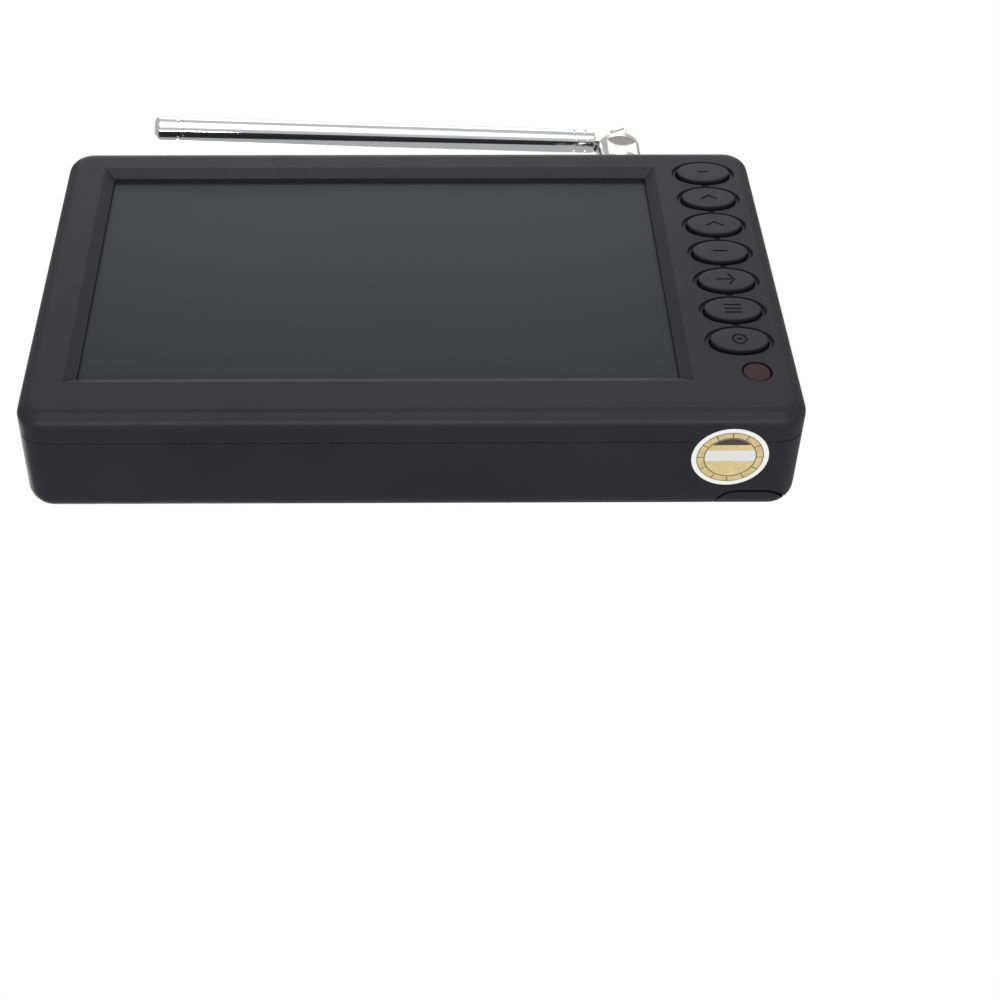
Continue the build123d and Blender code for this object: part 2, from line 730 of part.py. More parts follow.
def key_ribbon():
    z_keys = KEY_BOARD_Z - 0.2
    z_board = BOARD_TOP + 0.7
    points = [(56.4, -9, z_keys), (51.6, -9, z_keys), (50.0, -9, z_board), (44.6, -9, z_board)]
    return ribbon(points, 0.9, 8, 0.25, (0, 1, 0))


def dc_jack():
    """Barrel socket for a 5.5 mm plug, with its centre pin."""
    mouth = LEFT_X + 0.3
    shoulder = LEFT_X + 3.2
    body = block(shoulder, LEFT_X + 13.5, DC_Y - 4.4, DC_Y + 4.4, DC_Z - 3.5, BOARD_Z)
    body += disc_x(DC_Y, DC_Z, mouth, shoulder, DC_BORE_R + 0.7)
    body -= disc_x(DC_Y, DC_Z, mouth - 1, mouth + DC_DEPTH, DC_BORE_R)
    body += disc_x(DC_Y, DC_Z, mouth + 1.5, mouth + DC_DEPTH, 1.0)
    return one(body)


def av_jack():
    """3.5 mm jack socket."""
    mouth = LEFT_X + 0.3
    shoulder = LEFT_X + 3.2
    body = block(shoulder, LEFT_X + 15, AV_Y - 3.2, AV_Y + 3.2, AV_Z - 2.8, BOARD_Z)
    body += disc_x(AV_Y, AV_Z, mouth, shoulder, AV_BORE_R + 0.9)
    body -= disc_x(AV_Y, AV_Z, mouth - 1, mouth + AV_DEPTH, AV_BORE_R)
    return one(body)


def usb_port():
    """Folded metal shell with the contact tongue inside."""
    mouth = LEFT_X + 0.3
    depth = 14.0
    outer = block(mouth, mouth + depth, USB_Y - USB_W / 2, USB_Y + USB_W / 2,
                  USB_Z - USB_H / 2, USB_Z + USB_H / 2)
    inner = block(mouth - 1, mouth + depth - 1, USB_Y - USB_W / 2 + 0.4, USB_Y + USB_W / 2 - 0.4,
                  USB_Z - USB_H / 2 + 0.4, USB_Z + USB_H / 2 - 0.4)
    tongue = block(mouth + 2.2, mouth + depth, USB_Y - 5.5, USB_Y + 5.5, USB_Z + 0.3, USB_Z + 2.1)
    feet = [block(mouth + 4, mouth + 6, y - 0.3, y + 0.3, USB_Z, BOARD_Z) for y in (USB_Y - 6.3, USB_Y + 6.3)]
    return one(outer - inner + tongue + feet)


def switch_body():
    x0 = LEFT_X + WALL + 0.1
    body = block(x0, x0 + 5, SLIDER_Y - 5, SLIDER_Y + 5, SLIDER_Z - 2.4, BOARD_Z)
    slot = block(x0 - 1, x0 + 3, SLIDER_Y - 1.1 - SLIDER_TRAVEL / 2, SLIDER_Y + 1.1 + SLIDER_TRAVEL / 2,
                 SLIDER_Z - 1.1, SLIDER_Z + 1.1)
    return one(body - slot)


def switch_slider():
    """Ribbed knob, drawn at the lower end of its travel."""
    y = SLIDER_Y - SLIDER_TRAVEL / 2
    stem = block(LEFT_X + 1, LEFT_X + WALL + 2.8, y - 0.9, y + 0.9, SLIDER_Z - 0.9, SLIDER_Z + 0.9)
    knob = block(LEFT_X + 0.2, LEFT_X + WALL - 0.4, y - 1.5, y + 1.5, SLIDER_Z - 1.1, SLIDER_Z + 1.1)
    for offset in (-0.9, 0, 0.9):
        knob -= block(LEFT_X, LEFT_X + 0.5, y + offset - 0.15, y + offset + 0.15, SLIDER_Z - 2, SLIDER_Z + 2)
    return one(stem + knob)


def aerial_socket():
    """Threaded coaxial socket: collar in the top side, bush for its nut inside, thread outside."""
    collar = disc_y(0, 0, COLLAR_Y0, COLLAR_Y1, COLLAR_R)
    collar = chamfer(collar.edges().sort_by(Axis.Y)[-1], 0.4)
    bush = disc_y(0, 0, BUSH_Y0, COLLAR_Y0, BUSH_R)
    thread = disc_y(0, 0, COLLAR_Y1, THREAD_Y1, THREAD_R)
    return one(collar + bush + thread)


def hex_prism(flats, y0, y1):
    outline = RegularPolygon(flats / 2, 6, major_radius=False)
    return Pos(0, y1, 0) * Rot(90, 0, 0) * extrude(outline, y1 - y0)


def socket_nut():
    """Thin nut that holds the socket against its block inside the case."""
    y1 = PAD_Y0 - FIT_GAP
    y0 = y1 - SOCKET_NUT_T
    return one(hex_prism(SOCKET_NUT_FLATS, y0, y1) - disc_y(0, 0, y0 - 1, y1 + 1, BUSH_R + FIT_GAP))


def coupling_nut():
    """Large hexagon nut with bevelled ends over the socket's thread."""
    y0 = COLLAR_Y1 + FIT_GAP
    half = (NUT_Y1 - y0) / 2
    end_r = NUT_FLATS * 0.5
    middle_r = end_r + half * 0.6
    near = Pos(0, y0 + half / 2, 0) * Rot(-90, 0, 0) * Cone(end_r, middle_r, half)
    far = Pos(0, NUT_Y1 - half / 2, 0) * Rot(90, 0, 0) * Cone(end_r, middle_r, half)
    nut = hex_prism(NUT_FLATS, y0, NUT_Y1) & (near + far)
    nut -= disc_y(0, 0, y0 - 1, THREAD_Y1 + FIT_GAP, THREAD_R + FIT_GAP)
    nut -= disc_y(0, 0, THREAD_Y1, NUT_Y1 + 1, PLUG_R - 1)
    return one(nut)


def aerial_plug():
    """Plug inside the nut: its ring shows as a groove below the fork, and its spigot carries the fork."""
    stem = disc_y(0, 0, THREAD_Y1 + 2 * FIT_GAP, NUT_Y1, PLUG_R - 1 - FIT_GAP)
    ring = disc_y(0, 0, NUT_Y1 + FIT_GAP, PLUG_Y1, PLUG_R)
    neck = disc_y(0, 0, NUT_Y1, NUT_Y1 + 2 * FIT_GAP, PLUG_R - 1 - FIT_GAP)
    spigot = disc_y(0, 0, PLUG_Y1, SPIGOT_Y1, SPIGOT_R)
    return one(stem + neck + ring + spigot)


def aerial_fork():
    """Swivelling head: a round body with two milled flats and an end rim, then two rounded ears."""
    body = disc_y(0, 0, FORK_Y0, FORK_Y1, FORK_R)
    body = chamfer(body.edges().sort_by(Axis.Y)[0], 0.5)
    body = chamfer(body.edges().sort_by(Axis.Y)[-1], 0.5)
    for side in (-1, 1):
        flat = block(-FORK_R, FORK_R, FORK_Y0 + 1.2, FORK_Y1 - FORK_RIM, FORK_FLAT, FORK_FLAT + 5)
        body -= Rot(0, 90 - 90 * side, 0) * flat
    ears = block(-EAR_R, EAR_R, FORK_Y1 - 1, HINGE_Y, -EAR_T, EAR_T)
    ears += disc_z(0, HINGE_Y, -EAR_T, EAR_T, EAR_R)
    fork = body + ears
    fork -= block(-10, 10, FORK_SLOT_Y, HINGE_Y + 10, -FORK_SLOT / 2, FORK_SLOT / 2)
    fork -= disc_y(0, 0, FORK_Y0 - 1, SPIGOT_Y1 + 0.3, SPIGOT_R + RUNNING_GAP)
    fork -= disc_z(0, HINGE_Y, -10, 10, HINGE_PIN_R)
    return one(fork)


def fork_pin():
    """Hinge screw across the ears, with a slotted head."""
    pin = disc_z(0, HINGE_Y, -EAR_T, EAR_T, HINGE_PIN_R)
    head = disc_z(0, HINGE_Y, EAR_T, EAR_T + 0.5, 1.9)
    head = fillet(head.edges().sort_by(Axis.Z)[-1], 0.2)
    slot = Pos(0, HINGE_Y, EAR_T + 0.5) * Rot(0, 0, 35) * Box(6, 0.5, 0.5)
    return one(pin + head - slot)


def aerial_root():
    """Flat tongue with an eye for the pin, the two-ring ferrule, and the splice inside the tube."""
    eye = Cylinder(EYE_R, TONGUE_T)
    neck = block(-1.9, 1.9, 0, FERRULE_0 + 0.5, -TONGUE_T / 2, TONGUE_T / 2)
    ferrule = disc_y(0, 0, FERRULE_0, FERRULE_1, FERRULE_R)
    ferrule = chamfer(ferrule.edges().sort_by(Axis.Y)[0], 0.5)
    for y in (FERRULE_0 + 2.0, FERRULE_0 + 4.6):
        ferrule -= tube_y(y, y + 0.5, FERRULE_R + 1, FERRULE_R - 0.3)
    splice = disc_y(0, 0, FERRULE_1, SPLICE_Y, SECTION_R[0] - SECTION_WALL - FIT_GAP)
    root = eye + neck + ferrule + splice
    return one(root - Cylinder(HINGE_PIN_R + RUNNING_GAP, 2 * TONGUE_T))


def aerial_section(index):
    """One tube of the telescope. Each later tube is thinner and slides in the one before."""
    r = SECTION_R[index]
    start = FERRULE_1 if index == 0 else SPLICE_Y + SECTION_STEP * index
    return tube_y(start, SECTION_END - FIT_GAP * index, r, r - SECTION_WALL)


def aerial_rod():
    start = SPLICE_Y + SECTION_STEP * len(SECTION_R)
    return disc_y(0, 0, start, SECTION_END + 1, ROD_R)


def aerial_tip():
    """Rounded cap with a turned groove at the end of the innermost rod."""
    y0 = SECTION_END + 0.1
    cap = disc_y(0, 0, y0, TIP_END, TIP_R)
    cap = fillet(cap.edges().sort_by(Axis.Y)[-1], 1.2)
    cap -= tube_y(y0 + 0.7, y0 + 1.2, TIP_R + 1, TIP_R - 0.35)
    return one(cap - disc_y(0, 0, y0 - 1, SECTION_END + 1, ROD_R))


def aerial_lead():
    """Thin coaxial lead from the socket's inner end to the tuner."""
    x1 = TUNER_BOX[1]
    z = BOARD_TOP + 2.4
    points = [(AERIAL_X, BUSH_Y0, AERIAL_Z), (AERIAL_X, 22, AERIAL_Z), (49.8, 17, z - 2), (49.8, 10, z),
              (x1, 10, z)]
    return lead(points, 2.4, 1.8)


def seal_sticker():
    return disc_y(SEAL_X, SEAL_Z, -TOP_Y, -TOP_Y + SEAL_T, SEAL_R)


def rating_label():
    plate = Pos(LABEL_X, LABEL_Y, -LABEL_T) * extrude(RectangleRounded(LABEL_W, LABEL_H, 0.8), LABEL_T)
    return plate


def build():
    os.makedirs("parts", exist_ok=True)
    aerial = Pos(AERIAL_X, 0, AERIAL_Z)
    swivel = aerial * Rot(0, SWIVEL_ANGLE, 0)
    rod = swivel * Pos(0, HINGE_Y, 0) * Rot(0, 0, FOLD_ANGLE)

    save("front_shell", front_shell())
    save("rear_shell", rear_shell())
    save("lcd_panel", lcd_panel())
    save("lcd_backlight", lcd_backlight())
    save("lcd_bracket", lcd_bracket())
    bracket_z = BACKLIGHT_Z - BRACKET_T
    save("lcd_bracket_screws", *[screw(x, y, bracket_z, -1, BRACKET_SCREW_L) for x, y in BRACKET_POSTS])
    save("ir_window", ir_window())
    save("ir_receiver", ir_receiver())
    save("key_board", key_board())
    save("key_board_screws", *[screw(x, y, KEY_BOARD_Z, -1, KEY_SCREW_L) for x, y in KEY_POSTS])
    save("tact_switches", *[tact_switch(y) for y in BUTTON_YS])
    for index in range(BUTTON_COUNT):
        save(f"button_{index + 1}", button(index))
    for side, (x, y) in SPEAKERS.items():
        save(f"speaker_frame_{side}", Pos(x, y, 0) * speaker_frame())
        save(f"speaker_magnet_{side}", Pos(x, y, 0) * speaker_magnet())
        save(f"speaker_cone_{side}", Pos(x, y, 0) * speaker_cone())
        save(f"speaker_leads_{side}", *speaker_leads(x, y))
    save("main_board", main_board())
    save("main_board_screws", *[screw(x, y, BOARD_TOP, 1, BOARD_SCREW_L) for x, y in BOARD_POSTS])
    save("main_chip", main_chip())
    save("heat_sink", heat_sink())
    save("tuner_can", tuner_can())
    save("board_capacitors", *capacitors())
    save("board_connectors", *board_connectors())
    save("battery_pack", battery_pack())
    save("battery_lead", *battery_lead())
    save("lcd_ribbon", lcd_ribbon())
    save("key_ribbon", key_ribbon())
    save("dc_jack", dc_jack())
    save("av_jack", av_jack())
    save("usb_port", usb_port())
    save("power_switch_body", switch_body())
    save("power_switch_slider", switch_slider())
    save("stand_leg", stand_leg())
    save("stand_pin", stand_pin())
    save("seal_sticker", seal_sticker())
    save("rating_label", rating_label())
    save("aerial_socket", aerial * aerial_socket())
    save("aerial_socket_nut", aerial * socket_nut())
    save("aerial_coupling_nut", aerial * coupling_nut())
    save("aerial_plug", aerial * aerial_plug())
    save("aerial_lead", aerial_lead())
    save("aerial_fork", swivel * aerial_fork())
    save("aerial_fork_pin", swivel * fork_pin())
    save("aerial_root", rod * aerial_root())
    for index in range(len(SECTION_R)):
        save(f"aerial_section_{index + 1}", rod * aerial_section(index))
    save("aerial_rod", rod * aerial_rod())
    save("aerial_tip", rod * aerial_tip())


build()
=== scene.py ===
import math

import bpy
from mathutils import Matrix, Vector


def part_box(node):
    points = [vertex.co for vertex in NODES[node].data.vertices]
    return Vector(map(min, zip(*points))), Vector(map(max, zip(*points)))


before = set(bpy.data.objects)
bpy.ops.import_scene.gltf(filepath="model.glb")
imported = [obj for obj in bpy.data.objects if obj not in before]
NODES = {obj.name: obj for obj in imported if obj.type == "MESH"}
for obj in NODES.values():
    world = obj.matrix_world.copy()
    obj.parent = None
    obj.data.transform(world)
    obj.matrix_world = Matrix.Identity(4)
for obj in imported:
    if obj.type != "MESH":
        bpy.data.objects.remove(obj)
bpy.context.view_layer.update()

# ---------------------------------------------------------------- sizes, in metres
MM = 0.001
CASE_LO, CASE_HI = (Vector(c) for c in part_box("front_shell"))
FRONT_Y = CASE_LO.y
CASE_T = 24 * MM
BACK_Y = FRONT_Y + CASE_T
MID_Z = (CASE_LO.z + CASE_HI.z) / 2


def lying(x, y, z):
    """A direction given with the set on its back (z out of the screen), in the upright frame."""
    return Vector((x, -z, y))


def lying_point(x, y, z):
    """A point given in millimetres with the set on its back, in the upright frame."""
    return lying(x, y, z) * MM + Vector((0, BACK_Y, MID_Z))


# ---------------------------------------------------------------- node helpers
NOISE_SPAN = (0.3, 0.7)


class Graph:
    """A short way to write shader nodes."""

    def __init__(self, tree):
        self.tree = tree

    def add(self, kind, inputs=None, **props):
        node = self.tree.nodes.new(kind)
        for key, value in props.items():
            setattr(node, key, value)
        for key, value in (inputs or {}).items():
            self.put(node.inputs[key], value)
        return node

    def put(self, socket, value):
        if isinstance(value, bpy.types.NodeSocket):
            self.tree.links.new(value, socket)
        elif isinstance(value, bpy.types.Node):
            self.tree.links.new(value.outputs[0], socket)
        else:
            socket.default_value = value

    def math(self, op, a, b=0.0, clamp=False):
        return self.add("ShaderNodeMath", {0: a, 1: b}, operation=op, use_clamp=clamp).outputs[0]

    def vector(self, op, a, b=(0, 0, 0)):
        node = self.add("ShaderNodeVectorMath", {0: a, 1: b}, operation=op)
        return node.outputs["Value"] if op in ("DOT_PRODUCT", "LENGTH", "DISTANCE") else node.outputs[0]

    def mix(self, factor, a, b):
        node = self.add("ShaderNodeMix", data_type="RGBA")
        self.put(node.inputs["Factor"], factor)
        self.put(node.inputs["A"], a)
        self.put(node.inputs["B"], b)
        return node.outputs["Result"]

    def ramp(self, value, lo, hi, out_lo=0.0, out_hi=1.0, smooth=False):
        node = self.add("ShaderNodeMapRange", interpolation_type="SMOOTHSTEP" if smooth else "LINEAR")
        node.clamp = True
        inputs = {"Value": value, "From Min": lo, "From Max": hi, "To Min": out_lo, "To Max": out_hi}
        for key, item in inputs.items():
            self.put(node.inputs[key], item)
        return node.outputs["Result"]

    def noise(self, point, scale, detail=3.0, rough=0.5):
        inputs = {"Vector": point, "Scale": scale, "Detail": detail, "Roughness": rough}
        return self.add("ShaderNodeTexNoise", inputs).outputs["Fac"]

    def cloud(self, point, scale, detail, out_lo=0.0, out_hi=1.0):
        """Noise spread over a wanted range."""
        return self.ramp(self.noise(point, scale, detail), *NOISE_SPAN, out_lo, out_hi)

    def bump(self, shader, height, strength, distance):
        """Fine relief on a shader's normal."""
        node = self.add("ShaderNodeBump", {"Height": height, "Strength": strength, "Distance": distance})
        self.put(shader.inputs["Normal"], node)

    def xyz(self, vector):
        node = self.add("ShaderNodeSeparateXYZ", {0: vector})
        return node.outputs[0], node.outputs[1], node.outputs[2]

    def inside(self, value, lo, hi, soft):
        """1 between lo and hi, with soft edges."""
        rise = self.ramp(value, lo - soft, lo + soft)
        fall = self.ramp(value, hi - soft, hi + soft, 1.0, 0.0)
        return self.math("MULTIPLY", rise, fall)


def rgb(r, g, b):
    return (r, g, b, 1.0)


MATERIALS = {}


def new_material(name):
    made = bpy.data.materials.new(name)
    made.use_nodes = True
    made.node_tree.nodes.clear()
    MATERIALS[name] = made
    graph = Graph(made.node_tree)
    out = graph.add("ShaderNodeOutputMaterial")
    shader = graph.add("ShaderNodeBsdfPrincipled")
    graph.put(out.inputs["Surface"], shader)
    point = graph.add("ShaderNodeTexCoord").outputs["Object"]
    return graph, shader, point


def edge_mask(graph, radius, lo=0.02, hi=0.25):
    """1 along sharp edges, from how far a rounded normal turns away from the true one."""
    normal = graph.add("ShaderNodeNewGeometry").outputs["Normal"]
    rounded = graph.add("ShaderNodeBevel", {"Radius": radius}, samples=6).outputs[0]
    turn = graph.math("SUBTRACT", 1.0, graph.vector("DOT_PRODUCT", normal, rounded))
    return graph.ramp(turn, lo, hi)


WEAR_PATCHES = 900.0
WEAR_POLISH = 0.12


def finish(name, colour, roughness, metallic=0.0, specular=0.5, mottle=0.08, mottle_scale=60.0,
           grain=0.0, grain_scale=5000.0, grain_size=0.03 * MM, rough_spread=0.08, wear=0.0, wear_colour=None,
           wear_radius=0.3 * MM, stretch=(1, 1, 1)):
    """A moulded, plated or printed surface: cloudy colour, uneven roughness, fine grain and edge wear."""
    graph, shader, point = new_material(name)
    dark = [c * (1 - mottle) for c in colour] + [1.0]
    light = [min(1.0, c * (1 + mottle)) for c in colour] + [1.0]
    base = graph.mix(graph.cloud(point, mottle_scale, 4.0), tuple(dark), tuple(light))
    smear = graph.noise(point, mottle_scale * 3.1, 5.0, 0.6)
    rough = graph.ramp(smear, 0.25, 0.75, max(0.02, roughness - rough_spread), roughness + rough_spread)
    if wear:
        patches = graph.ramp(graph.noise(point, WEAR_PATCHES, 4.0), 0.35, 0.65)
        mask = graph.math("MULTIPLY", edge_mask(graph, wear_radius), patches)
        mask = graph.math("MULTIPLY", mask, wear)
        base = graph.mix(mask, base, wear_colour or rgb(*[min(1.0, c * 2.2 + 0.02) for c in colour]))
        rough = graph.math("SUBTRACT", rough, graph.math("MULTIPLY", mask, WEAR_POLISH), clamp=True)
    graph.put(shader.inputs["Base Color"], base)
    graph.put(shader.inputs["Roughness"], rough)
    shader.inputs["Metallic"].default_value = metallic
    shader.inputs["Specular IOR Level"].default_value = specular
    if grain:
        scaled = graph.add("ShaderNodeMapping", {"Vector": point, "Scale": stretch}).outputs[0]
        fine = graph.noise(scaled, grain_scale, 3.0, 0.6)
        graph.bump(shader, fine, grain, grain_size)
    return MATERIALS[name]


def use(material, *names):
    for name in names:
        data = NODES[name].data
        data.materials.clear()
        data.materials.append(material)
        for polygon in data.polygons:
            polygon.material_index = 0


# ---------------------------------------------------------------- case
CASE_COLOUR = (0.0165, 0.0158, 0.0200)
use(
    finish("case_black", CASE_COLOUR, 0.43, specular=0.195, mottle=0.1, mottle_scale=45.0, grain=0.35,
           grain_scale=4200.0, rough_spread=0.06, wear=0.45, wear_radius=0.35 * MM),
    "front_shell", "rear_shell", "stand_leg",
)


SCREEN_CENTRE = lying_point(-6.0, 1.7, 0)
BORDER_X = (53.9 * MM, 54.1 * MM)
BORDER_Z = (30.1 * MM, 30.3 * MM)
SATIN_SPECULAR = 0.235


def screen_material():
    """Anti-glare polariser over an unlit display: nearly black, with a dark border of the black matrix."""
    graph, shader, point = new_material("screen_grey")
    x, _, z = graph.xyz(point)
    dx = graph.math("ABSOLUTE", graph.math("SUBTRACT", x, SCREEN_CENTRE.x))
    dz = graph.math("ABSOLUTE", graph.math("SUBTRACT", z, SCREEN_CENTRE.z))
    border = graph.math("MAXIMUM", graph.ramp(dx, *BORDER_X), graph.ramp(dz, *BORDER_Z))
    cloud = graph.cloud(point, 25.0, 3.0)
    active = graph.mix(cloud, rgb(0.0140, 0.0150, 0.0180), rgb(0.0155, 0.0165, 0.0195))
    graph.put(shader.inputs["Base Color"], graph.mix(border, active, rgb(0.015, 0.016, 0.018)))
    graph.put(shader.inputs["Roughness"], graph.cloud(point, 40.0, 3.0, 0.28, 0.33))
    graph.bump(shader, graph.noise(point, 9000.0, 2.0), 0.12, 0.01 * MM)
    shader.inputs["Specular IOR Level"].default_value = SATIN_SPECULAR
    return MATERIALS["screen_grey"]


use(screen_material(), "lcd_panel")


MARK_TOP, MARK_FLOOR = 0.10 * MM, 0.22 * MM


def key_material():
    """Satin black caps, a little polished where fingers press, with engraved symbols coloured darker and
    rougher where they sink below the cap's top.
    """
    graph, shader, point = new_material("key_black")
    depth = graph.xyz(point)[1]
    cap_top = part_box("button_1")[0].y
    sunk = graph.ramp(depth, cap_top + MARK_TOP, cap_top + MARK_FLOOR)
    cloud = graph.cloud(point, 300.0, 4.0)
    plastic = graph.mix(cloud, rgb(0.018, 0.0175, 0.022), rgb(0.022, 0.0215, 0.0265))
    worn = graph.math("MULTIPLY", edge_mask(graph, 0.25 * MM), 0.30)
    plastic = graph.mix(worn, plastic, rgb(0.07, 0.07, 0.075))
    # the engraved symbols are coloured near-black by their depth below the cap's top
    graph.put(shader.inputs["Base Color"], graph.mix(sunk, plastic, rgb(0.006, 0.006, 0.007)))
    polish = graph.cloud(point, 500.0, 4.0, 0.40, 0.50)
    graph.put(shader.inputs["Roughness"], graph.math("ADD", polish, graph.math("MULTIPLY", sunk, 0.3)))
    graph.bump(shader, graph.noise(point, 5200.0, 3.0), 0.15, 0.02 * MM)
    shader.inputs["Specular IOR Level"].default_value = SATIN_SPECULAR
    return MATERIALS["key_black"]


use(key_material(), *[f"button_{i}" for i in range(1, 8)], "power_switch_slider")
use(finish("ir_red", (0.030, 0.012, 0.016), 0.30, specular=0.2, mottle=0.1, rough_spread=0.04, grain=0.05),
    "ir_window")

# ---------------------------------------------------------------- aerial
use(
    finish("nickel", (0.81, 0.80, 0.785), 0.20, metallic=1.0, mottle=0.05, mottle_scale=220.0, grain=0.10,
           grain_scale=2600.0, grain_size=0.02 * MM, rough_spread=0.07, wear=0.25,
           wear_colour=rgb(0.86, 0.82, 0.74)),
    "aerial_socket", "aerial_socket_nut", "aerial_coupling_nut", "aerial_plug", "aerial_fork",
    "aerial_fork_pin",
)


def chrome_material():
    """Polished plating with faint lengthwise scratches and finger haze."""
    graph, shader, point = new_material("chrome")
    haze = graph.noise(point, 130.0, 4.0, 0.6)
    scratch_space = graph.add("ShaderNodeMapping", {"Vector": point, "Scale": (0.05, 1.0, 1.0)}).outputs[0]
    scratch = graph.noise(scratch_space, 7000.0, 2.0)
    colour = graph.mix(graph.ramp(haze, 0.35, 0.7), rgb(0.88, 0.88, 0.89), rgb(0.80, 0.81, 0.83))
    graph.put(shader.inputs["Base Color"], colour)
    shader.inputs["Metallic"].default_value = 1.0
    graph.put(shader.inputs["Roughness"], graph.ramp(haze, 0.3, 0.75, 0.06, 0.15))
    graph.bump(shader, scratch, 0.05, 0.01 * MM)
    return MATERIALS["chrome"]


use(chrome_material(), "aerial_root", *[f"aerial_section_{i}" for i in range(1, 5)], "aerial_rod", "aerial_tip")


# ---------------------------------------------------------------- sticker and label
SEAL_SEGMENTS = 12
SEAL_RING = (4.72 * MM, 5.97 * MM)
SEAL_LINES = ((4.55 * MM, 4.78 * MM), (5.90 * MM, 6.06 * MM))
SEAL_MIDDLE = (4.48 * MM, 4.58 * MM)
SEAL_DARK = (2.95 * MM, 3.05 * MM)
SEAL_BAND = (-0.93 * MM, 1.65 * MM)
PRINT_SOFT = 0.05 * MM


def seal_material():
    """Round foil seal: white rim, gold ring cut into segments, gold middle with a dark and a white band."""
    graph, shader, point = new_material("seal_foil")
    x, y, _ = graph.xyz(point)
    lo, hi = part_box("seal_sticker")
    centre = (Vector(lo) + Vector(hi)) / 2
    dx = graph.math("SUBTRACT", x, centre.x)
    dy = graph.math("SUBTRACT", centre.y, y)
    squares = graph.math("ADD", graph.math("MULTIPLY", dx, dx), graph.math("MULTIPLY", dy, dy))
    radius = graph.math("SQRT", squares)
    angle = graph.math("ARCTAN2", dy, dx)
    spokes = graph.math("ABSOLUTE", graph.math("SINE", graph.math("MULTIPLY", angle, SEAL_SEGMENTS / 2)))
    spoke = graph.ramp(spokes, 0.05, 0.14, 1.0, 0.0)
    ring = graph.inside(radius, *SEAL_RING, PRINT_SOFT)
    gold = graph.mix(graph.cloud(point, 700.0, 3.0), rgb(0.70, 0.53, 0.22), rgb(0.83, 0.68, 0.36))
    colour = graph.mix(ring, rgb(0.84, 0.84, 0.82), gold)
    colour = graph.mix(graph.math("MULTIPLY", ring, spoke), colour, rgb(0.10, 0.07, 0.03))
    middle = graph.ramp(radius, *SEAL_MIDDLE, 1.0, 0.0)
    for span in SEAL_LINES:
        line = graph.inside(radius, *span, PRINT_SOFT)
        colour = graph.mix(line, colour, rgb(0.14, 0.11, 0.05))
    inner = graph.mix(graph.ramp(dy, *SEAL_DARK), gold, rgb(0.07, 0.055, 0.045))
    inner = graph.mix(graph.inside(dy, *SEAL_BAND, 0.06 * MM), inner, rgb(0.82, 0.83, 0.82))
    colour = graph.mix(middle, colour, inner)
    graph.put(shader.inputs["Base Color"], colour)
    ring_foil = graph.math("MULTIPLY", ring, 0.35)
    middle_foil = graph.math("MULTIPLY", middle, 0.25)
    graph.put(shader.inputs["Metallic"], graph.math("ADD", ring_foil, middle_foil, clamp=True))
    graph.put(shader.inputs["Roughness"], graph.cloud(point, 400.0, 4.0, 0.28, 0.42))
    creases = graph.noise(point, 900.0, 2.0)
    graph.bump(shader, creases, 0.12, 0.05 * MM)
    return MATERIALS["seal_foil"]


use(seal_material(), "seal_sticker")


LABEL_BAND = (8.3 * MM, 13.4 * MM)
LABEL_BARS = ((15.0, 3.0, 22.0), (6.2, 3.0, 30.5), (4.2, 3.0, 26.0), (2.2, 3.0, 18.0))
LABEL_BAR_HEIGHT = 0.7
LABEL_BLOCKS = ((3.0, 9.0), (11.5, 17.5), (20.0, 31.0))
LABEL_BLOCK_ROW = (9.6 * MM, 12.1 * MM)


def label_material():
    """Grey label with a white band and plain bars in place of printing."""
    graph, shader, point = new_material("label_paper")
    x, _, z = graph.xyz(point)
    lo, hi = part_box("rating_label")
    up = graph.math("SUBTRACT", z, lo.z)
    across = graph.math("SUBTRACT", hi.x, x)
    band = graph.inside(up, *LABEL_BAND, PRINT_SOFT)
    colour = graph.mix(band, rgb(0.075, 0.078, 0.085), rgb(0.62, 0.63, 0.64))
    for low, start, end in LABEL_BARS:
        bar = graph.inside(up, low * MM, (low + LABEL_BAR_HEIGHT) * MM, PRINT_SOFT)
        bar = graph.math("MULTIPLY", bar, graph.inside(across, start * MM, end * MM, PRINT_SOFT))
        colour = graph.mix(bar, colour, rgb(0.36, 0.36, 0.38))
    for start, end in LABEL_BLOCKS:
        block = graph.inside(up, *LABEL_BLOCK_ROW, PRINT_SOFT)
        block = graph.math("MULTIPLY", block, graph.inside(across, start * MM, end * MM, PRINT_SOFT))
        colour = graph.mix(block, colour, rgb(0.10, 0.10, 0.11))
    fade = graph.cloud(point, 260.0, 4.0, 0.0, 0.12)
    graph.put(shader.inputs["Base Color"], graph.mix(fade, colour, rgb(0.20, 0.20, 0.20)))
    graph.put(shader.inputs["Roughness"], graph.cloud(point, 500.0, 4.0, 0.38, 0.52))
    fibres = graph.noise(point, 3000.0, 3.0)
    graph.bump(shader, fibres, 0.08, 0.02 * MM)
    return MATERIALS["label_paper"]


use(label_material(), "rating_label")


# ---------------------------------------------------------------- inside
def board_material():
    """Green solder resist with copper tracks just visible and pale solder pads."""
    graph, shader, point = new_material("board_green")
    flat = graph.add("ShaderNodeMapping", {"Vector": point, "Scale": (1, 0, 1)}).outputs[0]
    cells = graph.add("ShaderNodeTexVoronoi", {"Vector": flat, "Scale": 190.0}, feature="DISTANCE_TO_EDGE")
    track = graph.ramp(cells.outputs[0], 0.02, 0.06, 1.0, 0.0)
    colour = graph.mix(track, rgb(0.012, 0.085, 0.038), rgb(0.035, 0.16, 0.07))
    pads = graph.add("ShaderNodeTexVoronoi", {"Vector": flat, "Scale": 420.0}, feature="F1")
    pad = graph.ramp(pads.outputs["Distance"], 0.10, 0.14, 1.0, 0.0)
    colour = graph.mix(pad, colour, rgb(0.55, 0.52, 0.45))
    graph.put(shader.inputs["Base Color"], colour)
    graph.put(shader.inputs["Roughness"], graph.cloud(point, 300.0, 3.0, 0.25, 0.4))
    graph.bump(shader, track, 0.3, 0.03 * MM)
    return MATERIALS["board_green"]


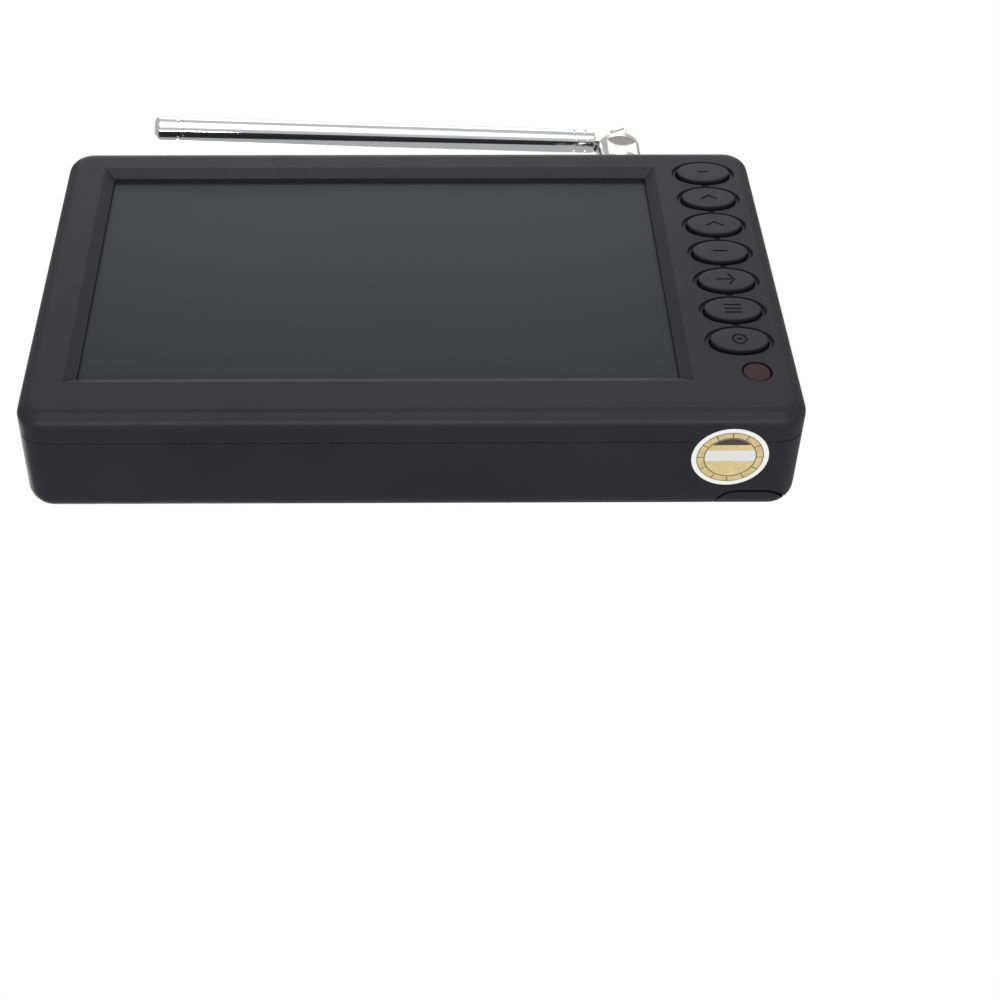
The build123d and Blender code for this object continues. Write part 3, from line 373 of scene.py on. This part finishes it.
use(board_material(), "main_board", "key_board")
use(finish("tray_white", (0.72, 0.72, 0.70), 0.5, grain=0.1, mottle=0.04), "lcd_backlight")
use(finish("pressed_steel", (0.56, 0.56, 0.55), 0.34, metallic=1.0, grain=0.15, stretch=(0.1, 1, 1), wear=0.2),
    "lcd_bracket")
use(finish("screw_steel", (0.58, 0.57, 0.55), 0.30, metallic=1.0, grain=0.1, wear=0.4),
    "lcd_bracket_screws", "key_board_screws", "main_board_screws", "stand_pin")
use(finish("jack_black", (0.018, 0.018, 0.018), 0.42, grain=0.2, wear=0.3),
    "tact_switches", "dc_jack", "av_jack", "power_switch_body")
use(finish("chip_black", (0.022, 0.022, 0.024), 0.5, grain=0.25), "main_chip", "ir_receiver")
use(finish("sink_aluminium", (0.66, 0.67, 0.69), 0.36, metallic=1.0, grain=0.2, stretch=(1, 1, 0.1), wear=0.3),
    "heat_sink")
use(finish("tinned_steel", (0.66, 0.65, 0.62), 0.27, metallic=1.0, grain=0.12, mottle=0.08, wear=0.3),
    "tuner_can", "usb_port")
use(finish("capacitor_sleeve", (0.60, 0.61, 0.64), 0.28, metallic=1.0, grain=0.1), "board_capacitors")
use(finish("connector_cream", (0.60, 0.54, 0.40), 0.45, grain=0.1), "board_connectors")
use(finish("battery_foil", (0.42, 0.44, 0.47), 0.38, metallic=0.6, grain=0.5, grain_scale=700.0,
           grain_size=0.1 * MM), "battery_pack")
use(finish("lead_red", (0.30, 0.015, 0.012), 0.35, grain=0.1), "battery_lead", "speaker_leads_left",
    "speaker_leads_right")
use(finish("ribbon_amber", (0.36, 0.15, 0.02), 0.30, grain=0.15, stretch=(6, 1, 0.2)),
    "lcd_ribbon", "key_ribbon")
use(finish("basket_steel", (0.03, 0.03, 0.03), 0.4, metallic=0.3, grain=0.2, wear=0.3), "speaker_frame_left",
    "speaker_frame_right")
use(finish("magnet_zinc", (0.56, 0.57, 0.58), 0.32, metallic=1.0, grain=0.12), "speaker_magnet_left",
    "speaker_magnet_right")
use(finish("cone_paper", (0.045, 0.042, 0.040), 0.8, grain=0.8, grain_scale=1800.0, grain_size=0.08 * MM,
           mottle=0.2), "speaker_cone_left", "speaker_cone_right")
use(finish("coax_black", (0.02, 0.02, 0.02), 0.38, grain=0.1), "aerial_lead")

# ---------------------------------------------------------------- camera, at the photograph's larger view
AZIMUTH, ELEVATION, ROLL = (math.radians(a) for a in (-0.844, -50.087, -0.789))
EYE = Vector((-3.30, -237.20, -239.54)) * MM
FOCAL_SHARE = 1.866
SHIFT_X, SHIFT_Y = 0.089, -0.190
SENSOR = 36.0
CLIP_NEAR, CLIP_FAR = 0.01, 50

back = Vector((
    math.sin(AZIMUTH) * math.cos(ELEVATION),
    -math.cos(AZIMUTH) * math.cos(ELEVATION),
    math.sin(ELEVATION),
))
level = Vector((math.cos(AZIMUTH), math.sin(AZIMUTH), 0))
right = level * math.cos(ROLL) + back.cross(level) * math.sin(ROLL)
camera_data = bpy.data.cameras.new("camera")
camera_data.sensor_width = SENSOR
camera_data.lens = FOCAL_SHARE * SENSOR
camera_data.shift_x = SHIFT_X
camera_data.shift_y = SHIFT_Y
camera_data.clip_start = CLIP_NEAR
camera_data.clip_end = CLIP_FAR
camera = bpy.data.objects.new("camera", camera_data)
turn = Matrix((right, back.cross(right), back)).transposed()
camera.matrix_world = Matrix.Translation(EYE) @ turn.to_4x4()
bpy.context.scene.collection.objects.link(camera)
bpy.context.scene.camera = camera


# ---------------------------------------------------------------- stage and light
FLOOR_HALF = 3.0
FLOOR_Z = -0.2 * MM
WORLD_BASE = 0.45
MIDDLE = (0, 0, MID_Z)


def one_sided_floor():
    """A pale floor that is seen from above only, so that the main camera looks up through it."""
    corners = [(FLOOR_HALF * sx, FLOOR_HALF * sy, FLOOR_Z) for sx, sy in ((-1, -1), (1, -1), (1, 1), (-1, 1))]
    mesh = bpy.data.meshes.new("floor")
    mesh.from_pydata(corners, [], [(0, 1, 2, 3)])
    floor = bpy.data.objects.new("floor", mesh)
    bpy.context.scene.collection.objects.link(floor)
    graph, shader, point = new_material("floor_pale")
    cloud = graph.noise(point, 3.0, 3.0)
    graph.put(shader.inputs["Base Color"], graph.mix(cloud, rgb(0.80, 0.80, 0.80), rgb(0.84, 0.84, 0.835)))
    graph.put(shader.inputs["Roughness"], graph.ramp(cloud, 0.3, 0.7, 0.55, 0.7))
    clear = graph.add("ShaderNodeBsdfTransparent")
    behind = graph.add("ShaderNodeNewGeometry").outputs["Backfacing"]
    both = graph.add("ShaderNodeMixShader", {0: behind, 1: shader, 2: clear})
    out = next(n for n in graph.tree.nodes if n.type == "OUTPUT_MATERIAL")
    graph.put(out.inputs["Surface"], both)
    mesh.materials.append(MATERIALS["floor_pale"])
    floor.visible_shadow = False
    floor.visible_diffuse = False
    floor.visible_glossy = False


def softbox(name, spot, aim, size, power):
    data = bpy.data.lights.new(name, "AREA")
    data.shape = "RECTANGLE"
    data.size, data.size_y = size
    data.energy = power
    lamp = bpy.data.objects.new(name, data)
    lamp.location = spot
    lamp.rotation_euler = (Vector(aim) - Vector(spot)).to_track_quat("-Z", "Y").to_euler()
    bpy.context.scene.collection.objects.link(lamp)


def studio_world():
    """White to camera rays; for light and reflections a grey tent, brighter round three directions."""
    world = bpy.data.worlds.new("studio")
    bpy.context.scene.world = world
    world.use_nodes = True
    world.node_tree.nodes.clear()
    graph = Graph(world.node_tree)
    toward = graph.add("ShaderNodeTexCoord").outputs["Generated"]

    def lobe(direction, lo, hi, gain):
        aim = Vector(direction).normalized()
        return graph.ramp(graph.vector("DOT_PRODUCT", toward, tuple(aim)), lo, hi, 0.0, gain, smooth=True)

    front = lobe((0, -1, 0), -0.35, 0.5, 0.12)
    top_card = lobe((0, -0.3, 0.95), 0.87, 1.0, 1.7)
    bevel_card = lobe((0, -0.97, -0.25), 0.80, 1.0, 2.0)
    level = graph.math("ADD", graph.math("ADD", WORLD_BASE, front), graph.math("ADD", top_card, bevel_card))
    seen = graph.add("ShaderNodeLightPath").outputs["Is Camera Ray"]
    grey = graph.add("ShaderNodeCombineColor", {0: level, 1: level, 2: level})
    colour = graph.mix(seen, grey, rgb(1, 1, 1))
    background = graph.add("ShaderNodeBackground", {"Color": colour, "Strength": 1.0})
    graph.put(graph.add("ShaderNodeOutputWorld").inputs["Surface"], background)


one_sided_floor()
studio_world()
softbox("front_low", (0, -0.3, -0.97), MIDDLE, (1.4, 0.09), 6.5)
softbox("rear", (-0.5, 1.0, 0.7), MIDDLE, (0.9, 0.6), 5.0)
bpy.context.scene.view_settings.view_transform = "Standard"
